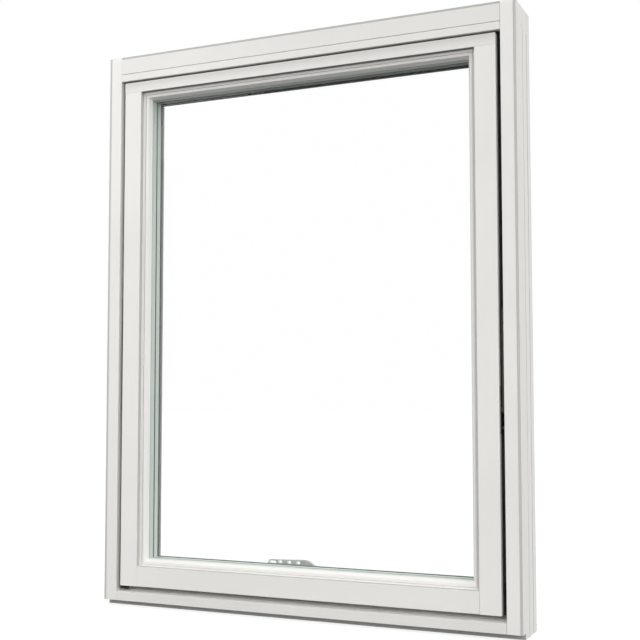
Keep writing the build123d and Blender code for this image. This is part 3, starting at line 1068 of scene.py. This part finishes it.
class WINDOW_OT_set_stage(bpy.types.Operator):
    """Lay the floor and set the lamps and camera"""

    bl_idname = "window.set_stage"
    bl_label = "Set stage"

    def execute(self, context):
        chosen = context.scene.window_stage
        context.scene.view_settings.view_transform = "Standard"
        self.lay_floor(context, chosen)
        self.light_sky(context, chosen)
        self.hang_key(context, chosen)
        self.stand_camera(context, chosen)
        return {"FINISHED"}

    def arithmetic(self, tree, operation, first, second):
        """Arithmetic on a socket and another socket or a number."""
        made = tree.nodes.new("ShaderNodeMath")
        made.operation = operation
        tree.links.new(first, made.inputs[0])
        if isinstance(second, bpy.types.NodeSocket):
            tree.links.new(second, made.inputs[1])
        else:
            made.inputs[1].default_value = second
        return made.outputs[0]

    def seen(self, tree):
        """One where a ray is the camera's own, or shows the background in gloss or glass."""
        path = tree.nodes.new("ShaderNodeLightPath")
        total = path.outputs["Is Camera Ray"]
        for other in ("Is Glossy Ray", "Is Transmission Ray"):
            total = self.arithmetic(tree, "MAXIMUM", total, path.outputs[other])
        return total

    def lay_floor(self, context, chosen):
        """Pale floor that keeps a faint shadow."""
        half = chosen.floor_size / 2
        corners = [(-half, -half, 0), (half, -half, 0), (half, half, 0), (-half, half, 0)]
        mesh = bpy.data.meshes.new("floor")
        mesh.from_pydata(corners, [], [(0, 1, 2, 3)])
        floor = bpy.data.objects.new("floor", mesh)
        context.scene.collection.objects.link(floor)
        material = bpy.data.materials.new("pale floor")
        material.use_nodes = True
        tree = material.node_tree
        tree.nodes.clear()
        add, link = tree.nodes.new, tree.links.new
        output = add("ShaderNodeOutputMaterial")
        matte = add("ShaderNodeBsdfDiffuse")
        matte.inputs["Color"].default_value = (*[chosen.floor_tone] * 3, 1.0)
        glow = add("ShaderNodeEmission")
        strength = self.arithmetic(tree, "MULTIPLY", self.seen(tree), chosen.floor_glow)
        link(strength, glow.inputs["Strength"])
        both = add("ShaderNodeAddShader")
        link(matte.outputs[0], both.inputs[0])
        link(glow.outputs[0], both.inputs[1])
        link(both.outputs[0], output.inputs["Surface"])
        mesh.materials.append(material)

    def light_sky(self, context, chosen):
        """Even light all round, white where the background shows."""
        world = bpy.data.worlds.new("studio")
        context.scene.world = world
        world.use_nodes = True
        tree = world.node_tree
        tree.nodes.clear()
        add, link = tree.nodes.new, tree.links.new
        output = add("ShaderNodeOutputWorld")
        sky = add("ShaderNodeBackground")
        facing = add("ShaderNodeTexCoord").outputs["Generated"]
        way = add("ShaderNodeSeparateXYZ")
        link(facing, way.inputs[0])
        rise = add("ShaderNodeMapRange")
        for socket, number in zip(rise.inputs[1:], (0.0, 1.0, chosen.sky_low, chosen.sky_high)):
            socket.default_value = number
        link(way.outputs["Z"], rise.inputs["Value"])

        towards = add("ShaderNodeVectorMath")
        towards.operation = "DOT_PRODUCT"
        towards.inputs[1].default_value = Vector(chosen.fill_way).normalized()
        link(facing, towards.inputs[0])
        fill = towards.outputs["Value"]
        steps = (("MAXIMUM", 0.0), ("POWER", chosen.fill_focus), ("MULTIPLY", chosen.fill))
        for operation, number in steps:
            fill = self.arithmetic(tree, operation, fill, number)
        total = self.arithmetic(tree, "ADD", rise.outputs[0], fill)

        level = add("ShaderNodeMapRange")
        level.inputs["To Max"].default_value = 1.0
        link(total, level.inputs["To Min"])
        link(self.seen(tree), level.inputs["Value"])
        link(level.outputs[0], sky.inputs["Strength"])
        sky.inputs["Color"].default_value = (1.0, 1.0, 1.0, 1.0)
        link(sky.outputs[0], output.inputs["Surface"])

    def hang_key(self, context, chosen):
        """Soft key lamp that looks at the upper left corner."""
        lamp = bpy.data.lights.new("key", "AREA")
        lamp.shape = "DISK"
        lamp.size = chosen.key_size
        lamp.energy = chosen.key_power
        held = bpy.data.objects.new("key", lamp)
        context.scene.collection.objects.link(held)
        held.location = chosen.key_place
        held.visible_glossy = False
        aim = Vector((-SIDE_X, FRONT, JAMB_HIGH.z)) - Vector(chosen.key_place)
        held.rotation_euler = aim.to_track_quat("-Z", "Y").to_euler()

    def stand_camera(self, context, chosen):
        """Camera at the photograph's angle."""
        lens = bpy.data.cameras.new("camera")
        lens.sensor_width = 36.0
        lens.sensor_fit = "HORIZONTAL"
        lens.lens = chosen.lens
        lens.shift_x, lens.shift_y = chosen.shift
        lens.clip_end = 200.0
        camera = bpy.data.objects.new("camera", lens)
        context.scene.collection.objects.link(camera)
        camera.location = chosen.camera_place
        camera.rotation_euler = chosen.camera_turn
        context.scene.camera = camera


STEPS = (
    WINDOW_OT_paint_frame,
    WINDOW_OT_paint_sash,
    WINDOW_OT_glaze,
    WINDOW_OT_finish_fittings,
    WINDOW_OT_drive_screws,
    WINDOW_OT_fit_gap_seal,
    WINDOW_OT_set_stage,
)


class WINDOW_PT_dressing(bpy.types.Panel):
    """Sizes, colours and steps of the window's dressing"""

    bl_idname = "WINDOW_PT_dressing"
    bl_label = "Pivot window"
    bl_space_type = "VIEW_3D"
    bl_region_type = "UI"
    bl_category = "Window"

    def draw(self, context):
        for key in GROUPS:
            group = getattr(context.scene, key)
            box = self.layout.box()
            for value in group.__annotations__:
                box.prop(group, value)
        for step in STEPS:
            self.layout.operator(step.bl_idname)


GROUPS = {
    "window_finishes": WindowFinishes,
    "window_hardware": WindowHardware,
    "window_stage": WindowStage,
}
CLASSES = (*GROUPS.values(), *STEPS, WINDOW_PT_dressing)


def register():
    for each in CLASSES:
        bpy.utils.register_class(each)
    for key, group in GROUPS.items():
        setattr(bpy.types.Scene, key, PointerProperty(type=group))


def unregister():
    for key in GROUPS:
        delattr(bpy.types.Scene, key)
    for each in reversed(CLASSES):
        bpy.utils.unregister_class(each)


def main():
    """Dress the window."""
    register()
    bpy.ops.window.paint_frame()
    bpy.ops.window.paint_sash()
    bpy.ops.window.glaze()
    bpy.ops.window.finish_fittings()
    bpy.ops.window.drive_screws()
    bpy.ops.window.fit_gap_seal()
    bpy.ops.window.set_stage()


if __name__ == "__main__":
    main()
